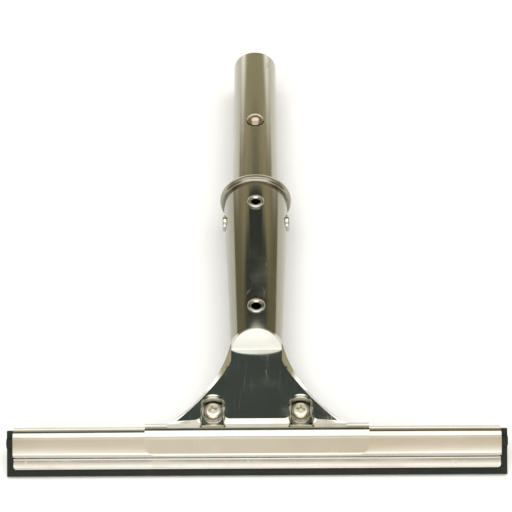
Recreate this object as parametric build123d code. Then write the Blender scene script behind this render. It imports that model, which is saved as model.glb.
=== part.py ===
from build123d import *
from math import atan2, cos, degrees, hypot, pi, radians, sin
import os

# Window cleaning squeegee, lying on its wiping edge and on its collar.
# +X runs along the blade, +Y along the handle away from the blade, +Z is up.
# All sizes are in millimetres. Stations along the handle are measured from the wiping edge.

# ---- Blade and channel -------------------------------------------------------------------
CHANNEL_LENGTH = 203.2
BLADE_ANGLE = 42.0  # from the horizontal up to the plane of the blade
RUBBER_OVERHANG = 3.0  # past each end of the channel
RUBBER_THICKNESS = 1.9
RUBBER_EXPOSED = 3.1  # below the channel's lips
CHANNEL_WALL = 0.9
CHANNEL_LIP_HEIGHT = 4.7
LIP_FLARE = 1.2  # each lip is this much thicker at its edge
LIP_EDGE_RADIUS = 0.5
BULB_HEIGHT = 12.5
BULB_THICKNESS = 9.0
BULB_CORNER_RADIUS = 2.4  # where the bulb turns in to the lips
CHANNEL_CORNER_RADIUS = 1.7
RUBBER_SLIDE_GAP = 0.15  # rubber to channel, each side
RUBBER_TOP_GAP = 0.3  # rubber's upper edge to the inside of the bulb
END_CLIP_LENGTH = 7.0
END_CLIP_WALL = 0.5
END_CLIP_SETBACK = 0.6  # inside the channel's end
CLIP_GRIP_GAP = 0.02
CLIP_SIDE_GAP = 0.48  # clip to the inside of the bulb

# ---- Jaws and yoke -----------------------------------------------------------------------
JAW_WIDTH = 93.3
JAW_LIP_WALL = 1.3
JAW_LIP_REACH = 12.4  # down the channel from its top
JAW_CORNER_RADIUS = 4.5
CHANNEL_FIT_GAP = 0.1
JAW_SPLIT_OFFSET = 2.2  # behind the blade's middle plane
JAW_SPLIT_GAP = 0.3
YOKE_WALL = 1.6
YOKE_BASE_HALF = 37.5
YOKE_WAIST_HALF = 20.4
YOKE_FRONT = 14.0
YOKE_WAIST = 32.8
FIELD_HEIGHT = 2.0  # above the handle's axis
MATE_DEPTH = 6.0  # jaws meet this far below the handle's axis
BEVEL_WIDTH = 2.0
BEVEL_HEIGHT = 1.0
BEVEL_TIP = 0.8  # bevel's width at the yoke's front corners
FIELD_BASE_INSET = 4.0  # field's front corners, inside the yoke's
FIELD_NECK_HALF = 7.6
FIELD_NECK_RADIUS = 4.0
WALL_NECK_RADIUS = 1.0
ARCH_RUN = 4.5  # length of the sloped face between tube and field
NECK_RISE_RUN = 8.0  # length of the slope under the neck
TANG_LENGTH = 21.6
TANG_WALL = 2.2
TANG_FIT_GAP = 0.1
REAR_PLATE_WALL = 1.8
REAR_PLATE_END = 46.0
REAR_INSET = 0.4
REAR_RIM_RADIUS = 0.5

# ---- Clamp screws and nuts ---------------------------------------------------------------
SCREW_SPACING = 37.0
SCREW_STATION = 23.3
SCREW_RADIUS = 2.0
SCREW_LENGTH = 8.0
SCREW_HOLE_GAP = 0.25
HEAD_RADIUS = 4.1
HEAD_HEIGHT = 3.1
HEAD_CROWN_RADIUS = 1.9
CROSS_WIDTH = 1.1
CROSS_SPAN = 4.6
CROSS_DEPTH = 1.9
POCKET_RADIUS = 4.5
POCKET_RIM_RADIUS = 5.0
POCKET_FLOOR = 1.2
POCKET_WALL = 1.4
POCKET_MOUTH_RADIUS = 1.2
RIM_MOUTH_RADIUS = 2.2
NUT_ACROSS_FLATS = 7.0
NUT_HEIGHT = 3.2
NUT_CLEARANCE = 0.1
NUT_THREAD_GAP = 0.05
NUT_BOSS_WALL = 1.4
NUT_SINK = 0.8  # nut's top below the rear jaw's upper face
NUT_BOSS_DEPTH = 0.4  # boss reaches past the nut

# ---- Handle ------------------------------------------------------------------------------
COLLAR_RADIUS = 17.0
COLLAR_WIDTH = 4.6
COLLAR_EDGE_RADIUS = 1.9
COLLAR_BODY_LENGTH = 23.0
ARCH_STATION = 56.4
SLEEVE_LENGTH = 84.3
SLEEVE_SMALL_RADIUS = 11.2
SLEEVE_LARGE_RADIUS = 15.2
SLEEVE_WALL = 1.2
SPIGOT_RADIUS = 10.8
SPIGOT_WALL = 1.2
SPIGOT_EXPOSED = 95.0
SPIGOT_INSERT = 29.0
SPIGOT_END_RADIUS = 0.5
PILOT_MARGIN = 2.5  # from the button's hole to the full-size end of the spigot
PILOT_RELIEF = 0.25  # rest of the spigot is this much under size
BUSH_GAP = 0.05
SLEEVE_FIT_GAP = 0.1

# ---- Rivets ------------------------------------------------------------------------------
WINDOW_SETBACK = 12.2  # window rivets, from the sleeve's mouth
LOWER_RIVET_SETBACK = 12.3  # lower rivet, from the sleeve's small end
RIVET_HEAD_RADIUS = 3.9
RIVET_PROUD = 1.1
LOWER_RIVET_PROUD = 0.6
RIVET_SHANK_RADIUS = 2.9
RIVET_BORE_RADIUS = 2.0
RIVET_HOLE_GAP = 0.05
RIVET_EDGE_RADIUS = 0.5
RIVET_TAIL_RADIUS = 3.6
RIVET_TAIL_HEIGHT = 0.8

# ---- Snap button -------------------------------------------------------------------------
BUTTON_STATION = 43.2  # from the collar's outer face
BUTTON_RADIUS = 4.0
BUTTON_PROUD = 2.6
BUTTON_DOME_HEIGHT = 2.2
BUTTON_HOLE_GAP = 0.3
BUTTON_FLANGE_RADIUS = 5.2
BUTTON_FLANGE_HEIGHT = 1.0
BUTTON_FLANGE_GAP = 0.2
SPRING_STRIP = 0.7
SPRING_WIDTH = 6.0
SPRING_REACH = 30.0
SPRING_TAIL = 8.0
SPRING_GAP = 0.05

# ---- Worked out from the sizes above -----------------------------------------------------
EDGE_DROP = RUBBER_THICKNESS / 2 * cos(radians(BLADE_ANGLE))  # wiping edge's lower corner
AXIS_HEIGHT = COLLAR_RADIUS - EDGE_DROP
FIELD_Z = AXIS_HEIGHT + FIELD_HEIGHT
MATE_Z = AXIS_HEIGHT - MATE_DEPTH
SEAT_Z = MATE_Z + POCKET_FLOOR
REAR_TOP_Z = MATE_Z - JAW_SPLIT_GAP
NUT_TOP_Z = REAR_TOP_Z - NUT_SINK
LIP_BOTTOM = RUBBER_EXPOSED
BULB_BOTTOM = LIP_BOTTOM + CHANNEL_LIP_HEIGHT
BULB_MIDDLE = BULB_BOTTOM + BULB_HEIGHT / 2
BULB_TOP = BULB_BOTTOM + BULB_HEIGHT
BULB_CROWN = BULB_TOP - BULB_THICKNESS / 2  # centre of the bulb's round top
SLOT_WIDTH = RUBBER_THICKNESS + 2 * RUBBER_SLIDE_GAP
BEAD_RADIUS = BULB_THICKNESS / 2 - CHANNEL_WALL - END_CLIP_WALL - CLIP_GRIP_GAP - CLIP_SIDE_GAP
LIPS_WIDTH = SLOT_WIDTH + 2 * CHANNEL_WALL
RUBBER_LENGTH = CHANNEL_LENGTH + 2 * RUBBER_OVERHANG
SLEEVE_MOUTH = ARCH_STATION + SLEEVE_LENGTH
COLLAR_FACE = SLEEVE_MOUTH + COLLAR_WIDTH
SPIGOT_END = COLLAR_FACE + SPIGOT_EXPOSED
SPIGOT_BORE = SPIGOT_RADIUS - SPIGOT_WALL
WINDOW_STATION = SLEEVE_MOUTH - WINDOW_SETBACK
LOWER_RIVET_STATION = ARCH_STATION + LOWER_RIVET_SETBACK
SNAP_STATION = COLLAR_FACE + BUTTON_STATION
PILOT_START = SNAP_STATION + BUTTON_RADIUS + BUTTON_HOLE_GAP + PILOT_MARGIN
RELIEVED_RADIUS = SPIGOT_RADIUS - PILOT_RELIEF
BUSH_BORE = RELIEVED_RADIUS + BUSH_GAP
TANG_BORE = SLEEVE_SMALL_RADIUS - SLEEVE_WALL - TANG_FIT_GAP - TANG_WALL
BEYOND = 100.0  # longer than any piece that a cutting block has to clear

UP_BLADE = (0, cos(radians(BLADE_ANGLE)), sin(radians(BLADE_ANGLE)))
OUT_OF_BLADE = (0, -sin(radians(BLADE_ANGLE)), cos(radians(BLADE_ANGLE)))
BLADE_SECTION = Plane(origin=(0, 0, 0), x_dir=OUT_OF_BLADE, z_dir=(-1, 0, 0))
BLADE_FACE = Plane(origin=(0, 0, 0), x_dir=(1, 0, 0), z_dir=OUT_OF_BLADE)
HANDLE_SECTION = Plane(origin=(0, 0, AXIS_HEIGHT), x_dir=(0, 1, 0), z_dir=(1, 0, 0))
HANDLE_AXIS = Axis((0, 0, AXIS_HEIGHT), (0, 1, 0))


# ---- Shared shapes -----------------------------------------------------------------------
def along_blade(sketch, length):
    """Run a section, drawn out of and up the blade, along the blade."""
    return extrude(BLADE_SECTION * sketch, amount=length / 2, both=True)


def rounded_panel(length, low, high, radius):
    """Block square to the blade's face, with its two lower corners rounded."""
    panel = Pos(0, (low + high) / 2) * Rectangle(length, high - low)
    panel = fillet(panel.vertices().group_by(Axis.Y)[0], radius)
    return extrude(BLADE_FACE * panel, amount=BEYOND, both=True)


def bulb(grow):
    """Section of the channel's bulb, grown all round: a round top over two tighter corners."""
    radius = BULB_THICKNESS / 2 + grow
    low = BULB_BOTTOM - grow
    sides = Pos(0, (low + BULB_CROWN) / 2) * Rectangle(2 * radius, BULB_CROWN - low)
    sides = fillet(sides.vertices().group_by(Axis.Y)[0], BULB_CORNER_RADIUS + grow)
    return sides + Pos(0, BULB_CROWN) * Circle(radius)


def turned(points):
    """Turn a closed outline of (station, radius) points about the handle's axis."""
    outline = make_face(Polyline(*points, close=True))
    return revolve(HANDLE_SECTION * outline, axis=HANDLE_AXIS)


def rod(radius, start, end):
    """Plain cylinder on the handle's axis between two stations."""
    return turned([(start, 0), (start, radius), (end, radius), (end, 0)])


def radial_plane(station, angle, reach):
    """Plane that faces away from the handle's axis, at a distance from it."""
    outward = (sin(radians(angle)), 0, cos(radians(angle)))
    place = (outward[0] * reach, station, AXIS_HEIGHT + outward[2] * reach)
    return Plane(origin=place, x_dir=(0, 1, 0), z_dir=outward)


def radial_cylinder(station, angle, radius, low, high):
    """Cylinder square to the handle's axis, from one distance to another."""
    disc = radial_plane(station, angle, low) * Circle(radius)
    return extrude(disc, amount=high - low)


def sleeve_radius(station):
    """Outer radius of the tapered sleeve."""
    share = (station - ARCH_STATION) / SLEEVE_LENGTH
    return SLEEVE_SMALL_RADIUS + share * (SLEEVE_LARGE_RADIUS - SLEEVE_SMALL_RADIUS)


def sleeve_bore(station):
    """Inner radius of the tapered sleeve."""
    return sleeve_radius(station) - SLEEVE_WALL


# ---- Blade -------------------------------------------------------------------------------
def rubber_blade():
    height = BULB_TOP - CHANNEL_WALL - RUBBER_TOP_GAP
    web = Pos(0, height / 2) * Rectangle(RUBBER_THICKNESS, height)
    bead = Pos(0, BULB_MIDDLE) * Circle(BEAD_RADIUS)
    return along_blade(web + bead, RUBBER_LENGTH)


def channel_lips():
    """Section of the two lips as one solid wedge that runs up into the bulb."""
    root = LIPS_WIDTH / 2
    edge = root + LIP_FLARE
    right = [(root, BULB_MIDDLE), (root, BULB_BOTTOM), (edge, LIP_BOTTOM)]
    left = [(-across, up) for across, up in reversed(right)]
    wedge = make_face(Polyline(*left, *right, close=True))
    return fillet(wedge.vertices().group_by(Axis.Y)[0], LIP_EDGE_RADIUS)


def channel():
    slot = Pos(0, BULB_MIDDLE / 2) * Rectangle(SLOT_WIDTH, BULB_MIDDLE)
    section = bulb(0) + channel_lips() - bulb(-CHANNEL_WALL) - slot
    body = along_blade(section, CHANNEL_LENGTH)
    return body & rounded_panel(CHANNEL_LENGTH, LIP_BOTTOM, BULB_TOP + 1, CHANNEL_CORNER_RADIUS)


def end_clip(side):
    """Spring saddle that presses the rubber's bead back inside one end of the channel."""
    inner = BEAD_RADIUS + CLIP_GRIP_GAP
    ring = Circle(inner + END_CLIP_WALL) - Circle(inner)
    ring &= Pos(SLOT_WIDTH / 2 + inner, 0) * Rectangle(2 * inner, 2 * BULB_HEIGHT)
    clip = along_blade(Pos(0, BULB_MIDDLE) * ring, END_CLIP_LENGTH)
    middle = CHANNEL_LENGTH / 2 - END_CLIP_SETBACK - END_CLIP_LENGTH / 2
    return Pos(side * middle, 0, 0) * clip


# ---- Yoke and jaws -----------------------------------------------------------------------
def flanked_plan(base_half, tip, front, waist_half, neck_half, end):
    """Plan that is wide at the blade, with hollow flanks that run in to the neck."""
    shoulder = SCREW_SPACING / 2
    edge = Polyline((-base_half, tip), (-shoulder, front), (shoulder, front), (base_half, tip))
    right = ThreePointArc((base_half, tip), (waist_half, YOKE_WAIST), (neck_half, end))
    back = Line((neck_half, end), (-neck_half, end))
    left = ThreePointArc((-neck_half, end), (-waist_half, YOKE_WAIST), (-base_half, tip))
    return make_face([edge, right, back, left])


def yoke_outline():
    """Plan of the yoke's walls, without the screw pockets."""
    return flanked_plan(
        YOKE_BASE_HALF, YOKE_FRONT, YOKE_FRONT, YOKE_WAIST_HALF, SLEEVE_SMALL_RADIUS, ARCH_STATION
    )


def field_outline():
    """Plan of the yoke's flat field, inside the bevel."""
    return flanked_plan(
        YOKE_BASE_HALF - FIELD_BASE_INSET,
        YOKE_FRONT + BEVEL_TIP,
        YOKE_FRONT + BEVEL_WIDTH,
        YOKE_WAIST_HALF - BEVEL_WIDTH,
        FIELD_NECK_HALF,
        ARCH_STATION - ARCH_RUN,
    )


def pocket_plan(x, radius):
    """Plan of a screw pocket: round behind the screw and open towards the blade."""
    run = Pos(x, SCREW_STATION / 2) * Rectangle(2 * radius, SCREW_STATION)
    return run + Pos(x, SCREW_STATION) * Circle(radius)


def pocketed(outline, radius, mouth_radius, neck_radius):
    """Outline with both screw pockets taken out and its corners rounded."""
    for x in screw_places().values():
        outline -= pocket_plan(x, radius)
    reach = SCREW_SPACING / 2 + radius + 1
    fronts = outline.vertices().filter_by(lambda corner: abs(corner.X) < reach and corner.Y < SCREW_STATION)
    mouths = [corner for corner in fronts if corner.Y < YOKE_FRONT + BEVEL_WIDTH + 1]
    outline = fillet(mouths, mouth_radius)
    return fillet(outline.vertices().group_by(Axis.Y)[-1], neck_radius)


def plateau():
    """Raised plate of the yoke, with bevelled edges and open screw pockets."""
    bevel_z = FIELD_Z - BEVEL_HEIGHT
    foot = pocketed(yoke_outline(), POCKET_RADIUS, POCKET_MOUTH_RADIUS, WALL_NECK_RADIUS)
    field = pocketed(field_outline(), POCKET_RIM_RADIUS, RIM_MOUTH_RADIUS, FIELD_NECK_RADIUS)
    floor = extrude(Pos(0, 0, MATE_Z) * yoke_outline(), amount=POCKET_FLOOR)
    wall = extrude(Pos(0, 0, SEAT_Z) * foot, amount=bevel_z - SEAT_Z)
    bevel = loft([Pos(0, 0, bevel_z) * foot, Pos(0, 0, FIELD_Z) * field], ruled=True)
    return floor + wall + bevel


def neck_side(start):
    """Side outline of the neck, where two slopes flatten the round tube into the yoke."""
    top = AXIS_HEIGHT + SLEEVE_SMALL_RADIUS
    bottom = AXIS_HEIGHT - SLEEVE_SMALL_RADIUS
    end = ARCH_STATION + BEYOND
    upper = [(end, top), (ARCH_STATION, top), (ARCH_STATION - ARCH_RUN, FIELD_Z), (start, FIELD_Z)]
    lower = [(start, MATE_Z), (ARCH_STATION - NECK_RISE_RUN, MATE_Z), (ARCH_STATION, bottom), (end, bottom)]
    return make_face(Polyline(*upper, *lower, close=True))


def side_block(outline):
    """Side outline run across the whole squeegee."""
    return extrude(Plane.YZ * outline, amount=BEYOND, both=True)


def neck():
    """Round tube cut down to the yoke's height by two slopes."""
    return rod(SLEEVE_SMALL_RADIUS, YOKE_WAIST, ARCH_STATION) & side_block(neck_side(YOKE_WAIST))


def neck_cavity():
    """Inside of the neck, one wall's thickness inside all of its faces."""
    start = REAR_PLATE_END - YOKE_WALL
    inside = offset(neck_side(0), amount=-YOKE_WALL)
    return rod(SLEEVE_SMALL_RADIUS - YOKE_WALL, start, ARCH_STATION) & side_block(inside)


def tang():
    """Tapered tube that fills the sleeve's small end, rooted inside the neck."""
    start = ARCH_STATION - YOKE_WALL
    end = ARCH_STATION + TANG_LENGTH
    fit_start = sleeve_bore(ARCH_STATION) - TANG_FIT_GAP
    fit_end = sleeve_bore(end) - TANG_FIT_GAP
    outer = [(start, fit_start), (ARCH_STATION, fit_start), (end, fit_end)]
    tube = turned([(start, TANG_BORE), *outer, (end, TANG_BORE)])
    return tube & side_block(neck_side(YOKE_WAIST))


def screw_places():
    return {"left": -SCREW_SPACING / 2, "right": SCREW_SPACING / 2}


def upright(x, radius, low, high):
    """Upright cylinder at a clamp screw's place."""
    return extrude(Pos(x, SCREW_STATION, low) * Circle(radius), amount=high - low)


def jaw_lip(front):
    """Half of the sleeve round the channel's bulb: the front jaw's half or the rear jaw's."""
    ring = bulb(CHANNEL_FIT_GAP + JAW_LIP_WALL) - bulb(CHANNEL_FIT_GAP)
    split = -JAW_SPLIT_OFFSET if front else -JAW_SPLIT_OFFSET - JAW_SPLIT_GAP
    side = 1 if front else -1
    half = Pos(split + side * BEYOND / 2, BULB_MIDDLE) * Rectangle(BEYOND, BEYOND)
    low = BULB_TOP + CHANNEL_FIT_GAP + JAW_LIP_WALL - JAW_LIP_REACH
    reach = rounded_panel(JAW_WIDTH, low, BEYOND, JAW_CORNER_RADIUS)
    return along_blade(ring & half, JAW_WIDTH) & reach


def channel_space():
    """The channel's bulb and lips with the sliding clearance, run through the jaws."""
    return along_blade(bulb(CHANNEL_FIT_GAP), JAW_WIDTH + 1)


def yoke_cavity():
    """Inside of the yoke, open on its underside."""
    hollow = offset(yoke_outline(), amount=-YOKE_WALL)
    hollow &= Pos(0, REAR_PLATE_END - BEYOND / 2) * Rectangle(BEYOND, BEYOND)
    return extrude(Pos(0, 0, MATE_Z) * hollow, amount=FIELD_Z - YOKE_WALL - MATE_Z)


def front_jaw():
    plate = plateau()
    body = plate + neck() - yoke_cavity() - neck_cavity() + tang()
    for x in screw_places().values():
        boss = Pos(0, 0, MATE_Z) * pocket_plan(x, POCKET_RADIUS + POCKET_WALL)
        body += extrude(boss, amount=FIELD_Z) & plate
    for x in screw_places().values():
        body -= upright(x, SCREW_RADIUS + SCREW_HOLE_GAP, 0, FIELD_Z)
    body += jaw_lip(front=True)
    body -= channel_space()
    return body - radial_cylinder(LOWER_RIVET_STATION, 0, RIVET_SHANK_RADIUS + RIVET_HOLE_GAP, 0, BEYOND)


def nut_prism(x, grow, low, high):
    across_corners = (NUT_ACROSS_FLATS / 2 + grow) / cos(pi / 6)
    return extrude(Pos(x, SCREW_STATION, low) * RegularPolygon(across_corners, 6), amount=high - low)


def rear_jaw():
    outline = offset(yoke_outline(), amount=-REAR_INSET)
    outline &= Pos(0, REAR_PLATE_END - BEYOND / 2) * Rectangle(BEYOND, BEYOND)
    plate = extrude(Pos(0, 0, REAR_TOP_Z - REAR_PLATE_WALL) * outline, amount=REAR_PLATE_WALL)
    plate = fillet(plate.faces().sort_by(Axis.Z)[0].edges(), REAR_RIM_RADIUS)
    boss_bottom = NUT_TOP_Z - NUT_HEIGHT - NUT_BOSS_DEPTH
    boss_radius = NUT_ACROSS_FLATS / 2 / cos(pi / 6) + NUT_BOSS_WALL
    body = plate + jaw_lip(front=False)
    for x in screw_places().values():
        body += upright(x, boss_radius, boss_bottom, REAR_TOP_Z - REAR_PLATE_WALL / 2)
    for x in screw_places().values():
        body -= nut_prism(x, NUT_CLEARANCE, boss_bottom - 1, NUT_TOP_Z)
        body -= upright(x, SCREW_RADIUS + SCREW_HOLE_GAP, 0, FIELD_Z)
    front_half = Pos(BEYOND / 2 - JAW_SPLIT_OFFSET - JAW_SPLIT_GAP, BULB_MIDDLE) * Rectangle(BEYOND, BEYOND)
    body -= channel_space() + along_blade(front_half & bulb(BULB_THICKNESS), JAW_WIDTH + 1)
    return body & Pos(0, 0, REAR_TOP_Z - BEYOND / 2) * Box(4 * BEYOND, 4 * BEYOND, BEYOND)


def clamp_screw(x):
    head = upright(x, HEAD_RADIUS, SEAT_Z, SEAT_Z + HEAD_HEIGHT)
    head = fillet(head.faces().sort_by(Axis.Z)[-1].edges(), HEAD_CROWN_RADIUS)
    top = Pos(x, SCREW_STATION, SEAT_Z + HEAD_HEIGHT)
    for turn in (0, 90):
        head -= top * Rot(0, 0, turn) * Box(CROSS_SPAN, CROSS_WIDTH, 2 * CROSS_DEPTH)
    return head + upright(x, SCREW_RADIUS, SEAT_Z - SCREW_LENGTH, SEAT_Z + HEAD_HEIGHT - CROSS_DEPTH)


def clamp_nut(x):
    bore = upright(x, SCREW_RADIUS + NUT_THREAD_GAP, 0, FIELD_Z)
    return nut_prism(x, 0, NUT_TOP_Z - NUT_HEIGHT, NUT_TOP_Z) - bore


# ---- Handle ------------------------------------------------------------------------------
def window_angles():
    return {"front": 0, "right": 90, "rear": 180, "left": 270}


def rivet_holes():
    """Radial holes for the window rivets through every layer of the handle."""
    holes = Part()
    for angle in window_angles().values():
        holes += radial_cylinder(WINDOW_STATION, angle, RIVET_SHANK_RADIUS + RIVET_HOLE_GAP, 1, BEYOND)
    return holes


def handle_sleeve():
    ends = [(ARCH_STATION, sleeve_radius(ARCH_STATION)), (SLEEVE_MOUTH, sleeve_radius(SLEEVE_MOUTH))]
    ends += [(SLEEVE_MOUTH, sleeve_bore(SLEEVE_MOUTH)), (ARCH_STATION, sleeve_bore(ARCH_STATION))]
    lower_hole = radial_cylinder(LOWER_RIVET_STATION, 0, RIVET_SHANK_RADIUS + RIVET_HOLE_GAP, 1, BEYOND)
    return turned(ends) - rivet_holes() - lower_hole


def collar():
    """Bush that fills the sleeve's mouth round the spigot, with a rounded flange."""
    start = SLEEVE_MOUTH - COLLAR_BODY_LENGTH
    fit_start = sleeve_bore(start) - SLEEVE_FIT_GAP
    fit_end = sleeve_bore(SLEEVE_MOUTH) - SLEEVE_FIT_GAP
    body = turned([(start, BUSH_BORE), (start, fit_start), (SLEEVE_MOUTH, fit_end), (SLEEVE_MOUTH, BUSH_BORE)])
    flange = rod(COLLAR_RADIUS, SLEEVE_MOUTH, COLLAR_FACE)
    flange = fillet(flange.edges().filter_by(GeomType.CIRCLE), COLLAR_EDGE_RADIUS)
    flange -= rod(BUSH_BORE, SLEEVE_MOUTH - 1, COLLAR_FACE + 1)
    return body + flange - rivet_holes()


def spigot_tube():
    """Straight tube with a full-size pilot at its end and the rest slightly relieved."""
    start = SLEEVE_MOUTH - SPIGOT_INSERT
    outer = [(start, RELIEVED_RADIUS), (PILOT_START, RELIEVED_RADIUS)]
    outer += [(PILOT_START, SPIGOT_RADIUS), (SPIGOT_END, SPIGOT_RADIUS)]
    tube = turned([(start, SPIGOT_BORE), *outer, (SPIGOT_END, SPIGOT_BORE)])
    tube = fillet(tube.edges().group_by(Axis.Y)[-1], SPIGOT_END_RADIUS)
    button_hole = radial_cylinder(SNAP_STATION, 0, BUTTON_RADIUS + BUTTON_HOLE_GAP, 1, BEYOND)
    return tube - rivet_holes() - button_hole


def hollow_rivet(station, angle, bore, proud):
    """Tubular rivet whose head and tail follow the tubes that it joins."""
    reach = sleeve_radius(station)
    head = radial_cylinder(station, angle, RIVET_HEAD_RADIUS, bore, reach + proud)
    outward = radial_plane(station, angle, 0).z_dir
    head = fillet(head.edges().filter_by(GeomType.CIRCLE).sort_by(Axis((0, 0, 0), outward))[-1], RIVET_EDGE_RADIUS)
    cone = turned([(ARCH_STATION, 0), (ARCH_STATION, sleeve_radius(ARCH_STATION)),
                   (SLEEVE_MOUTH, sleeve_radius(SLEEVE_MOUTH)), (SLEEVE_MOUTH, 0)])
    shank = radial_cylinder(station, angle, RIVET_SHANK_RADIUS, bore - RIVET_TAIL_HEIGHT, reach)
    tail = radial_cylinder(station, angle, RIVET_TAIL_RADIUS, bore - 2 * RIVET_TAIL_HEIGHT, bore)
    tail &= rod(bore - BUSH_GAP, ARCH_STATION, SLEEVE_MOUTH)
    eye = radial_cylinder(station, angle, RIVET_BORE_RADIUS, 1, BEYOND)
    return head - cone + shank + tail - eye


# ---- Snap button -------------------------------------------------------------------------
def flange_top():
    """Height over the axis at which the button's flange clears the spigot's bore."""
    return (SPIGOT_BORE**2 - BUTTON_FLANGE_RADIUS**2) ** 0.5 - BUTTON_FLANGE_GAP


def snap_button():
    top = SPIGOT_RADIUS + BUTTON_PROUD
    stem = radial_cylinder(SNAP_STATION, 0, BUTTON_RADIUS, flange_top() - BUTTON_FLANGE_HEIGHT, top)
    crown_radius = (BUTTON_RADIUS**2 + BUTTON_DOME_HEIGHT**2) / (2 * BUTTON_DOME_HEIGHT)
    crown = Pos(0, SNAP_STATION, AXIS_HEIGHT + top - crown_radius) * Sphere(crown_radius)
    flange = radial_cylinder(SNAP_STATION, 0, BUTTON_FLANGE_RADIUS, flange_top() - BUTTON_FLANGE_HEIGHT, flange_top())
    return (stem & crown + upright_core()) + flange


def upright_core():
    """Straight part of the button, below its dome."""
    top = SPIGOT_RADIUS + BUTTON_PROUD - BUTTON_DOME_HEIGHT
    return radial_cylinder(SNAP_STATION, 0, BUTTON_RADIUS, 1, top)


def strip(start, end):
    """Thin strip of spring between two points of the handle's section."""
    run = (end[0] - start[0], end[1] - start[1])
    middle = ((start[0] + end[0]) / 2, (start[1] + end[1]) / 2)
    turn = degrees(atan2(run[1], run[0]))
    return Pos(*middle) * Rot(0, 0, turn) * SlotOverall(hypot(*run) + SPRING_STRIP, SPRING_STRIP)


def button_spring():
    """Bent leaf that pushes the button out and rests on the far side of the bore."""
    under = flange_top() - BUTTON_FLANGE_HEIGHT - SPRING_STRIP / 2 - SPRING_GAP
    rest = -(SPIGOT_BORE**2 - (SPRING_WIDTH / 2) ** 2) ** 0.5 + SPRING_STRIP / 2 + SPRING_GAP
    bend = (SNAP_STATION - SPRING_REACH, rest)
    knee = (SNAP_STATION - BUTTON_FLANGE_RADIUS, under)
    legs = strip(bend, knee) + strip(knee, (SNAP_STATION + BUTTON_RADIUS, under))
    legs += strip(bend, (SNAP_STATION + SPRING_TAIL, rest))
    return extrude(HANDLE_SECTION * legs, amount=SPRING_WIDTH / 2, both=True)


# ---- Assembly ----------------------------------------------------------------------------
def all_pieces():
    pieces = {"rubber_blade": rubber_blade(), "channel": channel()}
    for name, side in {"left": -1, "right": 1}.items():
        pieces[f"end_clip_{name}"] = end_clip(side)
    pieces["front_jaw"] = front_jaw()
    pieces["rear_jaw"] = rear_jaw()
    for name, x in screw_places().items():
        pieces[f"clamp_screw_{name}"] = clamp_screw(x)
        pieces[f"clamp_nut_{name}"] = clamp_nut(x)
    pieces["handle_sleeve"] = handle_sleeve()
    pieces["collar"] = collar()
    pieces["spigot_tube"] = spigot_tube()
    for name, angle in window_angles().items():
        pieces[f"window_rivet_{name}"] = hollow_rivet(WINDOW_STATION, angle, SPIGOT_BORE, RIVET_PROUD)
    pieces["lower_rivet"] = hollow_rivet(LOWER_RIVET_STATION, 0, TANG_BORE, LOWER_RIVET_PROUD)
    pieces["snap_button"] = snap_button()
    pieces["button_spring"] = button_spring()
    return pieces


def write_parts():
    """Centre the whole squeegee over the origin and write one file per piece."""
    pieces = all_pieces()
    whole = Compound(children=[Compound(piece.solids()) for piece in pieces.values()])
    box = whole.bounding_box()
    shift = Pos(-box.center().X, -box.center().Y, -box.min.Z)
    print("shift to the shared origin", shift.position)
    os.makedirs("parts", exist_ok=True)
    for name, piece in pieces.items():
        export_step(shift * Compound(piece.solids()), f"parts/{name}.step")


write_parts()
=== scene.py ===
import logging
from dataclasses import dataclass, field
from enum import Enum
from math import cos, pi, radians, sin, sqrt
from typing import Any, Iterable, Sequence

import bmesh
import bpy
from mathutils import Matrix, Vector


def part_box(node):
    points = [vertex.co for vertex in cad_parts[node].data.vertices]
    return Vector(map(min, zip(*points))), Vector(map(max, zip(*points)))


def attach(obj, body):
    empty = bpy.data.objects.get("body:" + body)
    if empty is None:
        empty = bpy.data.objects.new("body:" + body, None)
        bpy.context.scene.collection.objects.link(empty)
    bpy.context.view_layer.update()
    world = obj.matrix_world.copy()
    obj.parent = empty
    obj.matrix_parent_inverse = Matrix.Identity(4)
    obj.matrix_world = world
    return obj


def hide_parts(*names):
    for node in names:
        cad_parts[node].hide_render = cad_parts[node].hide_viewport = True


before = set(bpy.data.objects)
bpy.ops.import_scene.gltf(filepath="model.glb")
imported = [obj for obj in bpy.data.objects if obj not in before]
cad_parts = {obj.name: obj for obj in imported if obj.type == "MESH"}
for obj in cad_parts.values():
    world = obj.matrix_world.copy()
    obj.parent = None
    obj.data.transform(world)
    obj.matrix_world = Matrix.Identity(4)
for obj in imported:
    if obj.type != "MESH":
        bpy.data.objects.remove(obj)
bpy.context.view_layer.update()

LOG = logging.getLogger("squeegee")
MM = 0.001
SHARP_ANGLE = radians(32)
LATHE_STEPS = 192
SMALL_STEPS = 96
WELD = 1e-7


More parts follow.
